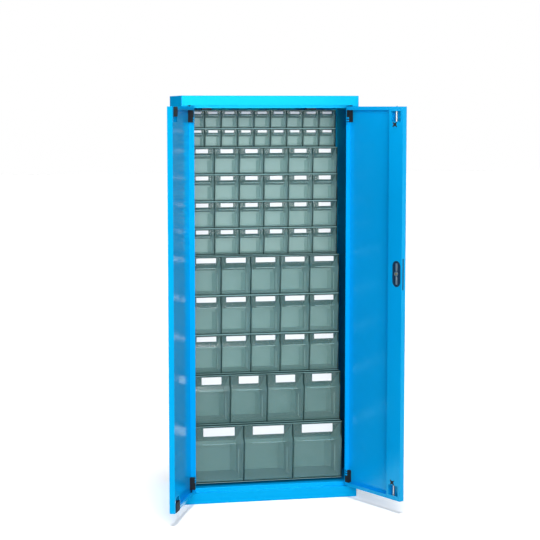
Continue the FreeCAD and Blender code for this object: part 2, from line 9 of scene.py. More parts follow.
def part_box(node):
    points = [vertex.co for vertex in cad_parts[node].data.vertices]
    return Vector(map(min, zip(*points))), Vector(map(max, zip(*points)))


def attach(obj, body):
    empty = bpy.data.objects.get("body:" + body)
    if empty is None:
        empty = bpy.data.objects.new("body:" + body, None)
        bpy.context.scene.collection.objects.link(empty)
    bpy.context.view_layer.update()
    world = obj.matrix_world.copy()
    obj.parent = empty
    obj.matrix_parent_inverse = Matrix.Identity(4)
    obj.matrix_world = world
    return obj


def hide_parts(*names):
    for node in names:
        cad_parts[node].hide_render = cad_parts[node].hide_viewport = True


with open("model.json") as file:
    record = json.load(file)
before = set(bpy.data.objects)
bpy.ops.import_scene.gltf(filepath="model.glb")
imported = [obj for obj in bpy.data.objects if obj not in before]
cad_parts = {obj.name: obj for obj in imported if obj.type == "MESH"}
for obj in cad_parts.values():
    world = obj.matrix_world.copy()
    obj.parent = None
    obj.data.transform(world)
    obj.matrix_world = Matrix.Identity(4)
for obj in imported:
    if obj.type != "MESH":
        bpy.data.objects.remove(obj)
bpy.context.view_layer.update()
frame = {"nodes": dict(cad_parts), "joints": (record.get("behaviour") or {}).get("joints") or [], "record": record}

# Base plinth: folded sheet steel with a ledge that the doors shut over, a riser that stops them and a raised
# floor. It is welded at the corners, sprayed with blue polyester powder, baked, and stands flat on the floor.
MM = 0.001
MERGE_DISTANCE = 0.01 * MM
FLAT_ANGLE = math.radians(1)
SMOOTH_ANGLE = math.radians(40)
FOLD_RADIUS = 2.0 * MM
FOLD_SEGMENTS = 3
FOLD_ANGLE = math.radians(60)
NARROWEST_FOLDED_FACE = 5.0 * MM
BODY_OF_NODE = {
    node: body for body, nodes in frame["record"]["behaviour"]["bodies"].items() for node in nodes
}


def linear(code):
    """The linear colour of an sRGB hex value."""
    shares = [int(code[place : place + 2], 16) / 255 for place in (0, 2, 4)]
    return [c / 12.92 if c <= 0.04045 else ((c + 0.055) / 1.055) ** 2.4 for c in shares] + [1.0]


def new_material(name):
    """An empty node material with its output."""
    material = bpy.data.materials.new(name)
    material.use_nodes = True
    material.node_tree.nodes.clear()
    return material


def add_node(owner, kind, inputs=None, **settings):
    """Add a node with its settings, and link or set the inputs that are given."""
    tree = owner.node_tree
    node = tree.nodes.new(kind)
    for name, value in settings.items():
        setattr(node, name, value)
    for name, value in (inputs or {}).items():
        if isinstance(value, bpy.types.NodeSocket):
            tree.links.new(value, node.inputs[name])
        else:
            node.inputs[name].default_value = value
    return node


def object_place(owner):
    """The place of a point on its piece, in metres."""
    return add_node(owner, "ShaderNodeTexCoord").outputs["Object"]


def noise(owner, place, size, detail):
    """A cloudy pattern from 0 to 1, with clouds of the given size."""
    inputs = {"Vector": place, "Scale": 1 / size, "Detail": detail}
    return add_node(owner, "ShaderNodeTexNoise", inputs).outputs["Fac"]


def blend(owner, pattern, deep, light):
    """A colour between two others, by a pattern."""
    inputs = {0: pattern, 6: linear(deep), 7: linear(light)}
    return add_node(owner, "ShaderNodeMix", inputs, data_type="RGBA").outputs[2]


def between(owner, pattern, limits, reach=(0.0, 1.0)):
    """A number that goes from one limit to the other while a pattern goes over its reach."""
    inputs = {
        "Value": pattern,
        "From Min": reach[0],
        "From Max": reach[1],
        "To Min": limits[0],
        "To Max": limits[1],
    }
    return add_node(owner, "ShaderNodeMapRange", inputs).outputs["Result"]


def relief(owner, pattern, height, **under):
    """The normal of a relief, which may lie on another one."""
    inputs = {"Height": pattern, "Strength": 1.0, "Distance": height, **under}
    return add_node(owner, "ShaderNodeBump", inputs).outputs["Normal"]


def shade(owner, inputs):
    """Close a material with its main shader."""
    shader = add_node(owner, "ShaderNodeBsdfPrincipled", inputs)
    add_node(owner, "ShaderNodeOutputMaterial", {"Surface": shader.outputs["BSDF"]})
    return owner


# Polyester powder coat on steel: a glossy blue film. The eye gets clear reflections that waver a little,
# because the sheet is never quite flat, and a fine orange peel close up. A skimming view meets the sides of
# that peel, so the mirror fades out between two shares of the way from square on to edge on.
PAINT_DEEP = "02A4EA"
PAINT_LIGHT = "04AFF4"
PAINT_GLINT = "28C8B8"
PAINT_INDEX = 1.5
PAINT_ROUGHNESS = (0.15, 0.21)
PAINT_DRIFT = 260 * MM
SHEET_WAVE = 190 * MM
SHEET_WAVE_HEIGHT = 0.9 * MM
ORANGE_PEEL = 3.0 * MM
ORANGE_PEEL_HEIGHT = 0.03 * MM
SKIMMING_SHARES = (0.78, 0.86)
EVEN_BLEND = 0.5


def powder_coat():
    """Blue powder coat."""
    paint = new_material("blue_powder_coat")
    place = object_place(paint)
    drift = noise(paint, place, PAINT_DRIFT, 4.0)
    wavy = relief(paint, noise(paint, place, SHEET_WAVE, 0.0), SHEET_WAVE_HEIGHT)
    peel = noise(paint, place, ORANGE_PEEL, 1.0)
    skim = add_node(paint, "ShaderNodeLayerWeight", {"Blend": EVEN_BLEND})
    return shade(
        paint,
        {
            "Base Color": blend(paint, drift, PAINT_DEEP, PAINT_LIGHT),
            "Roughness": between(paint, drift, PAINT_ROUGHNESS),
            "Normal": relief(paint, peel, ORANGE_PEEL_HEIGHT, Normal=wavy),
            "IOR": PAINT_INDEX,
            "Specular IOR Level": between(paint, skim.outputs["Facing"], (1.0, 0.0), SKIMMING_SHARES),
            "Specular Tint": linear(PAINT_GLINT),
        },
    )


blue_paint = powder_coat()


def select_only(piece):
    """Make one piece the only thing that an operator acts on."""
    bpy.ops.object.select_all(action="DESELECT")
    piece.select_set(True)
    bpy.context.view_layer.objects.active = piece


def is_fold(edge):
    """True for an outside bend between two sheet faces, false for the cut edge of a sheet."""
    if len(edge.link_faces) != 2 or not edge.is_convex or edge.calc_face_angle() < FOLD_ANGLE:
        return False
    return all(face.calc_area() > edge.calc_length() * NARROWEST_FOLDED_FACE for face in edge.link_faces)


def dress(piece, body, finish):
    """Give a finished piece its material, and let it ride on its body."""
    piece.data.materials.clear()
    piece.data.materials.append(finish)
    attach(piece, body)
    return piece


def merged_copy(node):
    """A copy of a solid as clean convex faces, open in edit mode with nothing selected."""
    piece = bpy.data.objects.new(f"{node}_finished", frame["nodes"][node].data.copy())
    bpy.context.scene.collection.objects.link(piece)
    select_only(piece)
    bpy.ops.mesh.customdata_custom_splitnormals_clear()
    bpy.ops.object.mode_set(mode="EDIT")
    bpy.ops.mesh.select_mode(type="EDGE")
    bpy.ops.mesh.select_all(action="SELECT")
    bpy.ops.mesh.remove_doubles(threshold=MERGE_DISTANCE)
    bpy.ops.mesh.dissolve_limited(angle_limit=FLAT_ANGLE)
    bpy.ops.mesh.vert_connect_concave()
    bpy.ops.mesh.select_all(action="DESELECT")
    return piece


def stand_in(piece, node, finish):
    """Show a finished copy in the place of its solid, its large faces shaded flat between the round edges."""
    bpy.ops.object.mode_set(mode="OBJECT")
    bpy.ops.object.shade_smooth_by_angle(angle=SMOOTH_ANGLE)
    flat = piece.modifiers.new("flat_faces", "WEIGHTED_NORMAL")
    flat.keep_sharp = True
    bpy.ops.object.modifier_apply(modifier=flat.name)
    dress(piece, BODY_OF_NODE[node], finish)
    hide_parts(node)
    return piece


def folded_sheet(node, finish):
    """A sheet piece with its bends rounded."""
    piece = merged_copy(node)
    mesh = bmesh.from_edit_mesh(piece.data)
    for edge in mesh.edges:
        edge.select_set(is_fold(edge))
    bmesh.update_edit_mesh(piece.data)
    bpy.ops.mesh.bevel(offset=FOLD_RADIUS, segments=FOLD_SEGMENTS, affect="EDGES", clamp_overlap=True)
    return stand_in(piece, node, finish)


folded_sheet("base_plinth", blue_paint)

# Side panels: one sheet each, folded from the rear flange round the side to the box post at the front,
# spot welded to the plinth below and the header above.
for side in ("left", "right"):
    folded_sheet(f"{side}_side_panel", blue_paint)

# Back panel: a flat sheet of the same painted steel. It stands on the floor against the rear flanges of the
# sides and is spot welded to them.
folded_sheet("back_panel", blue_paint)

# Header: a folded cap of painted sheet with skirts all round, and the lintel that the doors shut against.
# It is welded on top of the sides and carries the upper hinge pins.
folded_sheet("top_header", blue_paint)

# Mounting rails: two upright channels of galvanised strip behind the rows, which the housings screw to.
# They are left bare.
SPANGLE = 14 * MM
SPANGLE_DEEP = "4E5558"
SPANGLE_LIGHT = "6C7376"
SPANGLE_ROUGHNESS = (0.5, 0.65)


def galvanised_steel():
    """Hot-dip galvanised strip: grey metal broken up into the flat crystals of the zinc."""
    zinc = new_material("galvanised_steel")
    crystals = add_node(zinc, "ShaderNodeTexVoronoi", {"Vector": object_place(zinc), "Scale": 1 / SPANGLE})
    grey = add_node(zinc, "ShaderNodeSeparateColor", {"Color": crystals.outputs["Color"]})
    return shade(
        zinc,
        {
            "Base Color": blend(zinc, grey.outputs["Red"], SPANGLE_DEEP, SPANGLE_LIGHT),
            "Metallic": 1.0,
            "Roughness": between(zinc, grey.outputs["Green"], SPANGLE_ROUGHNESS),
        },
    )


bare_zinc = galvanised_steel()


def refinish(node, finish):
    """Put a better material on a solid that shows as it is."""
    for slot in frame["nodes"][node].material_slots:
        slot.material = finish


refinish("mounting_rails", bare_zinc)

# Frame hinges: a foot plate with a turned pin at each corner of the opening, welded to the frame.
# They are steel, plated with black zinc.
HINGE_EDGE = 0.4 * MM
PLATING_SCRATCH = 1.2 * MM
SCRATCH_STRETCH = (1.0, 1.0, 0.04)


def plated_steel(name, deep, light, roughness):
    """Zinc plate on turned or drawn steel: a thin even film of metal with fine drawing marks along it."""
    plate = new_material(name)
    along = add_node(plate, "ShaderNodeMapping", {"Vector": object_place(plate), "Scale": SCRATCH_STRETCH})
    marks = noise(plate, along.outputs["Vector"], PLATING_SCRATCH, 2.0)
    return shade(
        plate,
        {
            "Base Color": blend(plate, marks, deep, light),
            "Metallic": 1.0,
            "Roughness": between(plate, marks, roughness),
        },
    )


def moulded_copy(node, finish, radius, segments=2):
    """A turned or moulded piece with all its edges eased."""
    piece = merged_copy(node)
    bpy.ops.object.mode_set(mode="OBJECT")
    eased = piece.modifiers.new("eased_edges", "BEVEL")
    eased.width = radius
    eased.segments = segments
    eased.limit_method = "ANGLE"
    eased.angle_limit = SMOOTH_ANGLE
    bpy.ops.object.modifier_apply(modifier=eased.name)
    return stand_in(piece, node, finish)


black_zinc = plated_steel("black_zinc_plated_steel", "16191B", "2B3033", (0.35, 0.5))
moulded_copy("frame_hinges", black_zinc, HINGE_EDGE)

# Housings: one open-fronted moulding per row, with a cell for each bin, in dark grey-green ABS. Each hangs on the
# rails by two screws through its back. The front edges of floor and roof get a paler copy of the same ABS: a
# painted highlight for the light they catch.
HOUSING_EDGE = 0.6 * MM
HOUSING_FLOOR = 2.5 * MM
# The dark housing colour is in part the ABS's own and in part painted shade, so that the lit front edges of the
# dividers read dark.
HOUSING_DEEP = "12302F"
HOUSING_LIGHT = "183B39"
# Colours of the painted highlight on the housing rims.
RIM_HIGHLIGHT_DEEP = "7CA2A0"
RIM_HIGHLIGHT_LIGHT = "88AEAC"
HOUSING_ROUGHNESS = (0.45, 0.6)
HOUSING_GLINT = 0.2
PLASTIC_INDEX = 1.53
MOULD_GRAIN = 1.6 * MM
MOULD_GRAIN_HEIGHT = 0.05 * MM
MOULD_FLOW = 70 * MM
HALF_TURNED = 0.5


def moulded_plastic(name, deep, light, roughness, glint):
    """Moulded plastic from a spark-eroded tool: a fine even grain over faint flow clouds."""
    plastic = new_material(name)
    place = object_place(plastic)
    flow = noise(plastic, place, MOULD_FLOW, 2.0)
    grain = noise(plastic, place, MOULD_GRAIN, 1.0)
    return shade(
        plastic,
        {
            "Base Color": blend(plastic, flow, deep, light),
            "Roughness": between(plastic, flow, roughness),
            "Normal": relief(plastic, grain, MOULD_GRAIN_HEIGHT),
            "IOR": PLASTIC_INDEX,
            "Specular IOR Level": glint,
        },
    )


# One ABS in two tones: the pale one, used on the rims, is a painted highlight.
housing_abs_and_painted_shade = moulded_plastic("grey_green_abs", HOUSING_DEEP, HOUSING_LIGHT, HOUSING_ROUGHNESS, HOUSING_GLINT)
rim_painted_highlight_abs = moulded_plastic("grey_green_abs_painted_highlight", RIM_HIGHLIGHT_DEEP, RIM_HIGHLIGHT_LIGHT, HOUSING_ROUGHNESS, HOUSING_GLINT)


def paint_rim_highlight(piece, node):
    """Paint a highlight on the front edges of a housing's floor and roof, with a paler copy of its ABS."""
    low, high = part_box(node)
    piece.data.materials.append(rim_painted_highlight_abs)
    for face in piece.data.polygons:
        on_rim = min(face.center.z - low.z, high.z - face.center.z) < HOUSING_FLOOR
        if on_rim and face.center.y < low.y + HOUSING_EDGE and face.normal.y < -HALF_TURNED:
            face.material_index = 1


BINS_IN_ROWS = (9, 9, 6, 6, 6, 6, 5, 5, 5, 4, 3)
for number in range(1, len(BINS_IN_ROWS) + 1):
    node = f"housing_row_{number:02d}"
    paint_rim_highlight(moulded_copy(node, housing_abs_and_painted_shade, HOUSING_EDGE), node)

# Housing screws: round-headed steel screws, plated with bright zinc. Two in each housing go through its back
# into the rails.
bright_zinc = plated_steel("zinc_plated_steel", "8D979A", "B4BDBF", (0.3, 0.48))
moulded_copy("housing_screws", bright_zinc, HINGE_EDGE)

# Bins: clear polystyrene trays that tilt on two trunnions. The front has an upright band for the label at its
# top, slopes out below that to a finger ledge and leans back in to the toe. Only the front is polished.
BIN_EDGE = 0.5 * MM
FRONT_WALL = 4.0 * MM
CLEAR_INDEX = 1.59
CLEAR_RIPPLE = 45 * MM
CLEAR_RIPPLE_HEIGHT = 0.05 * MM
FROSTED_ROUGHNESS = (0.3, 0.45)
POLISHED_ROUGHNESS = (0.08, 0.16)


def clear_polystyrene(name, deep, light, alpha, roughness):
    """Clear moulded polystyrene: see-through, with a faint green-grey body and wavering reflections."""
    clear = new_material(name)
    ripple = noise(clear, object_place(clear), CLEAR_RIPPLE, 1.0)
    return shade(
        clear,
        {
            "Base Color": blend(clear, ripple, deep, light),
            "Roughness": between(clear, ripple, roughness),
            "Normal": relief(clear, ripple, CLEAR_RIPPLE_HEIGHT),
            "IOR": CLEAR_INDEX,
            "Alpha": alpha,
        },
    )


# The tray's tool is lightly frosted, so its walls catch the light. The polished front lets nearly all of it
# through. The larger bins sit in the lower rows, and their trays get darker colours: painted shade for the light
# that falls off towards the floor.
frosted_trays = {
    "thin": clear_polystyrene("frosted_polystyrene_lightest", "B6DEDA", "CBECE8", 0.6, FROSTED_ROUGHNESS),
    "middle": clear_polystyrene("frosted_polystyrene", "9BCBC7", "B0DAD6", 0.55, FROSTED_ROUGHNESS),
    "thick": clear_polystyrene("frosted_polystyrene_darkest_painted_shade", "80B0AC", "96C3BF", 0.5, FROSTED_ROUGHNESS),
}
# Which tray colour each row takes, by its number of bins. The keys speak of wall thickness, but the darker colours
# of the lower rows are painted shade.
TRAY_PAINTED_SHADE = {9: "thin", 6: "thin", 5: "middle", 4: "thick", 3: "thick"}
clear_front = clear_polystyrene("clear_polystyrene", "7FB0AC", "A0CCC8", 0.16, POLISHED_ROUGHNESS)
HOUSING_END = 4.0 * MM
HOUSING_DIVIDER = 3.0 * MM
MOST_SEPARATE_BINS = 5


def row_bodies(number, count):
    """The bin bodies of one row, each with the places of the bins in it."""
    if count > MOST_SEPARATE_BINS:
        return {f"bins_row_{number:02d}": list(range(count))}
    return {f"bin_row_{number:02d}_place_{place + 1}": [place] for place in range(count)}


def polish_front(piece, row_front):
    """Give the front wall of a row's bins the polished finish."""
    piece.data.materials.append(clear_front)
    for face in piece.data.polygons:
        if face.center.y < row_front + FRONT_WALL and abs(face.normal.x) < HALF_TURNED:
            face.material_index = 1


for number, count in enumerate(BINS_IN_ROWS, start=1):
    row_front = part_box(f"housing_row_{number:02d}")[0].y
    for node in row_bodies(number, count):
        tray = moulded_copy(node, frosted_trays[TRAY_PAINTED_SHADE[count]], BIN_EDGE)
        polish_front(tray, row_front)

# Label pockets: a shallow frame moulded on the band of each bin, with a white card slid in.
# Width and height of a card are shares of the cell's pitch and of the row's height.
LABEL_WIDTH_SHARES = {9: 0.556, 6: 0.50, 5: 0.66, 4: 0.53, 3: 0.63}
LABEL_HEIGHT_SHARES = {9: 0.123, 6: 0.142, 5: 0.123, 4: 0.148, 3: 0.145}
LABEL_DROP = 6.0 * MM
LABEL_DROP_SHARE = 0.008
BAND_SETBACK = 1.0 * MM
POCKET_RIM = 1.2 * MM
POCKET_DEPTH = 1.4 * MM
POCKET_RECESS = 0.8 * MM
CARD_THICKNESS = 0.4 * MM
CARD_CORNER = 1.0 * MM
FIBRE = 2.5 * MM
CARD_ROUGHNESS = 0.8
POCKET_ROUGHNESS = (0.2, 0.3)
SAME_WAY = 0.9


def card():
    """White label card: dull, with a faint mottle of paper fibre."""
    paper = new_material("white_card")
    fibre = noise(paper, object_place(paper), FIBRE, 3.0)
    return shade(paper, {"Base Color": blend(paper, fibre, "F1F2F2", "FCFCFC"), "Roughness": CARD_ROUGHNESS})


white_card = card()
thick_clear = clear_polystyrene("thick_clear_polystyrene", "7AA9A6", "98C4C0", 0.3, POCKET_ROUGHNESS)


def new_block(name, size):
    """A block about the origin, open in edit mode with nothing selected."""
    bpy.ops.object.select_all(action="DESELECT")
    bpy.ops.mesh.primitive_cube_add(size=1)
    piece = bpy.context.object
    piece.name = name
    piece.scale = size
    bpy.ops.object.transform_apply(location=False, rotation=False, scale=True)
    bpy.ops.object.mode_set(mode="EDIT")
    bpy.ops.mesh.select_mode(type="FACE")
    bpy.ops.mesh.select_all(action="DESELECT")
    return piece


def select_faces(piece, direction):
    """Select the faces that look one way."""
    mesh = bmesh.from_edit_mesh(piece.data)
    for face in mesh.faces:
        face.select_set(face.normal.dot(Vector(direction)) > SAME_WAY)
    bmesh.update_edit_mesh(piece.data)


def select_edges(piece, wanted):
    """Select the edges for which a test of their two ends holds."""
    bpy.ops.mesh.select_mode(type="EDGE")
    mesh = bmesh.from_edit_mesh(piece.data)
    for edge in mesh.edges:
        edge.select_set(wanted(edge.verts[0].co, edge.verts[1].co))
    bmesh.update_edit_mesh(piece.data)


def label_card(name, width, height):
    """A thin card with round corners, upright about the origin."""
    piece = new_block(name, (width, CARD_THICKNESS, height))
    select_edges(piece, lambda start, end: abs(start.y - end.y) > CARD_THICKNESS / 2)
    bpy.ops.mesh.bevel(offset=CARD_CORNER, segments=2, affect="EDGES")
    bpy.ops.object.mode_set(mode="OBJECT")
    return piece


def label_pocket(name, width, height):
    """A shallow frame that holds a card, upright about the origin."""
    piece = new_block(name, (width + 2 * POCKET_RIM, POCKET_DEPTH, height + 2 * POCKET_RIM))
    select_faces(piece, (0, -1, 0))
    bpy.ops.mesh.inset(thickness=POCKET_RIM)
    bpy.ops.transform.translate(value=(0, POCKET_RECESS, 0))
    bpy.ops.object.mode_set(mode="OBJECT")
    return piece


def spread_copies(piece, places):
    """Move a piece to the first place, and join copies of it at the others."""
    copies = [piece]
    for place in places[1:]:
        copy = bpy.data.objects.new(piece.name, piece.data.copy())
        copy.data.transform(place)
        bpy.context.scene.collection.objects.link(copy)
        copies.append(copy)
    piece.data.transform(places[0])
    select_only(piece)
    for copy in copies:
        copy.select_set(True)
    if len(copies) > 1:
        bpy.ops.object.join()
    return piece


def cell_centres(number, count):
    """Middle of each cell of a row along X, its pitch, and the row's front, base and height."""
    low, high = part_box(f"housing_row_{number:02d}")
    pitch = (high.x - low.x - 2 * HOUSING_END + HOUSING_DIVIDER) / count
    first = low.x + HOUSING_END + (pitch - HOUSING_DIVIDER) / 2
    return [first + place * pitch for place in range(count)], pitch, low.y, low.z, high.z - low.z


def across(centres, places, y, z):
    """The places of like pieces on some of a row's bins."""
    return [Matrix.Translation((centres[place], y, z)) for place in places]


for number, count in enumerate(BINS_IN_ROWS, start=1):
    centres, pitch, front, base, height = cell_centres(number, count)
    label_width = pitch * LABEL_WIDTH_SHARES[count]
    label_height = height * LABEL_HEIGHT_SHARES[count]
    label_middle = base + height - LABEL_DROP - height * LABEL_DROP_SHARE - label_height / 2
    pocket_middle = front + BAND_SETBACK - POCKET_DEPTH / 2
    card_middle = front + BAND_SETBACK - POCKET_DEPTH + POCKET_RECESS - CARD_THICKNESS / 2
    for body, places in row_bodies(number, count).items():
        pocket = label_pocket(f"{body}_label_pocket", label_width, label_height)
        spread_copies(pocket, across(centres, places, pocket_middle, label_middle))
        dress(pocket, body, thick_clear)
        labels = label_card(f"{body}_label", label_width, label_height)
        spread_copies(labels, across(centres, places, card_middle, label_middle))
        dress(labels, body, white_card)

# Finger grips: a thicker lip in the middle of each ledge, hollow below for the finger tips.
# It is moulded in one with the bin.
LEDGE_REACH_SHARE = 0.08
LEDGE_HEIGHT_SHARE = 0.69
GRIP_WIDTH_SHARE = 0.66
GRIP_DEPTH = 4.0 * MM
GRIP_HEIGHT = 3.6 * MM
GRIP_OVERLAP = 1.2 * MM
GRIP_WALL = 0.9 * MM
GRIP_HOLLOW = 2.2 * MM
GRIP_ROUND = 0.8 * MM


def finger_grip(name, width):
    """A lip about the origin, rounded in front and hollow below."""
    piece = new_block(name, (width, GRIP_DEPTH, GRIP_HEIGHT))
    select_faces(piece, (0, 0, -1))
    bpy.ops.mesh.inset(thickness=GRIP_WALL)
    bpy.ops.transform.translate(value=(0, 0, GRIP_HOLLOW))
    select_edges(piece, lambda start, end: min(start.z, end.z) > GRIP_HEIGHT / 3 and max(start.y, end.y) < 0)
    bpy.ops.mesh.bevel(offset=GRIP_ROUND, segments=2, affect="EDGES")
    bpy.ops.object.mode_set(mode="OBJECT")
    bpy.ops.object.shade_smooth_by_angle(angle=SMOOTH_ANGLE)
    return piece


for number, count in enumerate(BINS_IN_ROWS, start=1):
    centres, pitch, front, base, height = cell_centres(number, count)
    grip_y = front - height * LEDGE_REACH_SHARE + GRIP_OVERLAP - GRIP_DEPTH / 2
    grip_z = base + height * LEDGE_HEIGHT_SHARE + GRIP_HEIGHT / 2
    for body, places in row_bodies(number, count).items():
        grip = finger_grip(f"{body}_finger_grip", pitch * GRIP_WIDTH_SHARE)
        spread_copies(grip, across(centres, places, grip_y, grip_z))
        dress(grip, body, thick_clear)

# Divider ribs and corner webs: an upright rib on each side wall of a tray holds a slide-in divider, and a web
# stiffens each rear corner. They are moulded in one with the bin, in the same frosted tool.
TRAY_SIDE = 2.6 * MM
TRAY_REAR = 7.3 * MM
TRAY_FLOOR = 5.8 * MM
RIB_HEIGHT_SHARE = 0.46
RIB_DEPTH_SHARE = 0.5
RIB_WIDTH = 2.4 * MM
RIB_PROUD = 3.2 * MM
RIB_BITE = 0.4 * MM
WEB_WIDTH_SHARE = 0.16
WEB_THICKNESS = 1.4 * MM
WEB_TURN = math.radians(45)


def upright_strip(name, size):
    """A strip that stands on end about the origin, with its four corners rounded."""
    piece = new_block(name, size)
    select_edges(piece, lambda start, end: abs(start.z - end.z) > size[2] / 2)
    bpy.ops.mesh.bevel(offset=min(size) / 4, segments=2, affect="EDGES")
    bpy.ops.object.mode_set(mode="OBJECT")
    bpy.ops.object.shade_smooth_by_angle(angle=SMOOTH_ANGLE)
    return piece


for number, count in enumerate(BINS_IN_ROWS, start=1):
    centres, pitch, front, base, height = cell_centres(number, count)
    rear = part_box(f"housing_row_{number:02d}")[1].y - TRAY_REAR
    half_width = (pitch - HOUSING_DIVIDER) / 2 - TRAY_SIDE
    rib_height = height * RIB_HEIGHT_SHARE
    middle = base + TRAY_FLOOR + rib_height / 2
    rib_x = half_width - RIB_PROUD / 2 + RIB_BITE
    rib_y = front + (rear - front) * RIB_DEPTH_SHARE
    web_width = pitch * WEB_WIDTH_SHARE
    web_reach = web_width / 2 * math.cos(WEB_TURN)
    for body, places in row_bodies(number, count).items():
        ribs = upright_strip(f"{body}_divider_ribs", (RIB_PROUD, RIB_WIDTH, rib_height))
        webs = upright_strip(f"{body}_corner_webs", (web_width, WEB_THICKNESS, rib_height))
        rib_places = []
        web_places = []
        for place in places:
            for side in (-1, 1):
                rib_places.append(Matrix.Translation((centres[place] + side * rib_x, rib_y, middle)))
                web_x = centres[place] + side * (half_width - web_reach)
                corner = Matrix.Translation((web_x, rear - web_reach, middle))
                web_places.append(corner @ Matrix.Rotation(-side * WEB_TURN, 4, "Z"))
        dress(spread_copies(ribs, rib_places), body, frosted_trays["thin"])
        dress(spread_copies(webs, web_places), body, frosted_trays[TRAY_PAINTED_SHADE[count]])

# Left door: a folded pan of painted sheet with a stiffener channel along its free edge. Plastic blocks, each
# held by three tabs of the flange, turn on the frame's pins. A plastic catch sits at each end of the channel.
BLOCK_EDGE = 0.8 * MM
BLACK_DEEP = "0E0F10"
BLACK_LIGHT = "1B1D1E"
BLOCK_HEIGHT = 48 * MM
TAB_LENGTH = 14 * MM
TAB_HEIGHT = 6.0 * MM
TAB_THICKNESS = 3.0 * MM
TAB_STEPS = (-16 * MM, -6 * MM, 4 * MM)
NYLON_ROUGHNESS = (0.6, 0.75)
NYLON_GLINT = 0.25
black_nylon = moulded_plastic("black_nylon", BLACK_DEEP, BLACK_LIGHT, NYLON_ROUGHNESS, NYLON_GLINT)
HANDS = {"left": 1, "right": -1}


def door_axes(side):
    """The turn and place of a door's own axes, with X along the door from its pivot."""
    hinge = next(joint for joint in frame["joints"] if joint["name"] == f"{side}_door_hinge")
    opening = math.radians(hinge["range_deg"][0])
    pivot = Matrix.Translation((hinge["pos_m"][0], hinge["pos_m"][1], 0))
    return pivot @ Matrix.Rotation(HANDS[side] * opening, 4, "Z")


def on_door(side, x, y, z):
    """The place of a trim piece on a door, from its distance to the pivot, its depth and its height."""
    return door_axes(side) @ Matrix.Translation((HANDS[side] * x, y, z))


def door_box(side, node):
    """Low and high corner of a door piece in the door's own axes."""
    back = door_axes(side).inverted()
    points = [back @ vertex.co for vertex in frame["nodes"][node].data.vertices]
    spans = list(zip(*((HANDS[side] * point.x, point.y, point.z) for point in points)))
    return Vector([min(span) for span in spans]), Vector([max(span) for span in spans])


def block_tabs(side):
    """Lugs of the flange that are bent over the hinge blocks of a door."""
    low, high = door_box(side, f"{side}_door_hinge_blocks")
    tab = new_block(f"{side}_door_block_tabs", (TAB_LENGTH, TAB_THICKNESS, TAB_HEIGHT))
    select_edges(tab, lambda start, end: min(start.y, end.y) > 0)
    bpy.ops.mesh.bevel(offset=TAB_THICKNESS / 4, segments=2, affect="EDGES")
    bpy.ops.object.mode_set(mode="OBJECT")
    heights = [low.z + BLOCK_HEIGHT + step for step in TAB_STEPS]
    heights += [high.z - BLOCK_HEIGHT - step for step in TAB_STEPS]
    spread_copies(
        tab, [on_door(side, low.x + TAB_LENGTH / 2, high.y + TAB_THICKNESS / 2, height) for height in heights]
    )
    dress(tab, f"{side}_door", blue_paint)


folded_sheet("left_door_skin", blue_paint)
folded_sheet("left_door_stiffener", blue_paint)
moulded_copy("left_door_hinge_blocks", black_nylon, BLOCK_EDGE)
block_tabs("left")
moulded_copy("left_door_catches", black_nylon, BLOCK_EDGE)

# Right door: the same pan and channel in painted sheet, cut out for the lock and its rods, with the same
# plastic blocks on its hinge side.
folded_sheet("right_door_skin", blue_paint)
folded_sheet("right_door_stiffener", blue_paint)
moulded_copy("right_door_hinge_blocks", black_nylon, BLOCK_EDGE)
block_tabs("right")

# Lock rods: drawn steel bars, plated with zinc and chamfered at the ends. They run in plastic guides, and a
# four-armed plastic clip by each window snaps through the channel and keeps the guide in place.
ROD_CHAMFER = 0.8 * MM
CLIP_WIDTH = 24 * MM
CLIP_HEIGHT = 20 * MM
CLIP_THICKNESS = 2.0 * MM
CLIP_WAIST_SHARE = 0.5
for node in ("upper_lock_rod", "lower_lock_rod"):
    moulded_copy(node, bright_zinc, ROD_CHAMFER)
moulded_copy("rod_guides", black_nylon, BLOCK_EDGE)


def select_points(piece, wanted):
    """Select the points for which a test of their place holds."""
    bpy.ops.mesh.select_mode(type="VERT")
    mesh = bmesh.from_edit_mesh(piece.data)
    for point in mesh.verts:
        point.select_set(wanted(point.co))
    mesh.select_flush_mode()
    bmesh.update_edit_mesh(piece.data)


def rod_clips():
    """Plates with their sides drawn in to four arms, one by each window of the channel."""
    clip = new_block("rod_clips", (CLIP_WIDTH, CLIP_THICKNESS, CLIP_HEIGHT))
    bpy.ops.mesh.select_all(action="SELECT")
    bpy.ops.mesh.subdivide(number_cuts=1)
    select_points(clip, lambda place: min(abs(place.x), abs(place.z)) < MERGE_DISTANCE)
    bpy.ops.transform.resize(value=(CLIP_WAIST_SHARE, 1, CLIP_WAIST_SHARE), center_override=(0, 0, 0))
    bpy.ops.object.mode_set(mode="OBJECT")
    rod_low, rod_high = door_box("right", "upper_lock_rod")
    guide_low, guide_high = door_box("right", "rod_guides")
    rim = door_box("right", "right_door_stiffener")[1].y
    spread_copies(
        clip,
        [
            on_door("right", (rod_low.x + rod_high.x) / 2, rim + CLIP_THICKNESS / 2, height)
            for height in (guide_low.z + CLIP_HEIGHT / 2, guide_high.z - CLIP_HEIGHT / 2)
        ],
    )
    dress(clip, "right_door", black_nylon)


rod_clips()

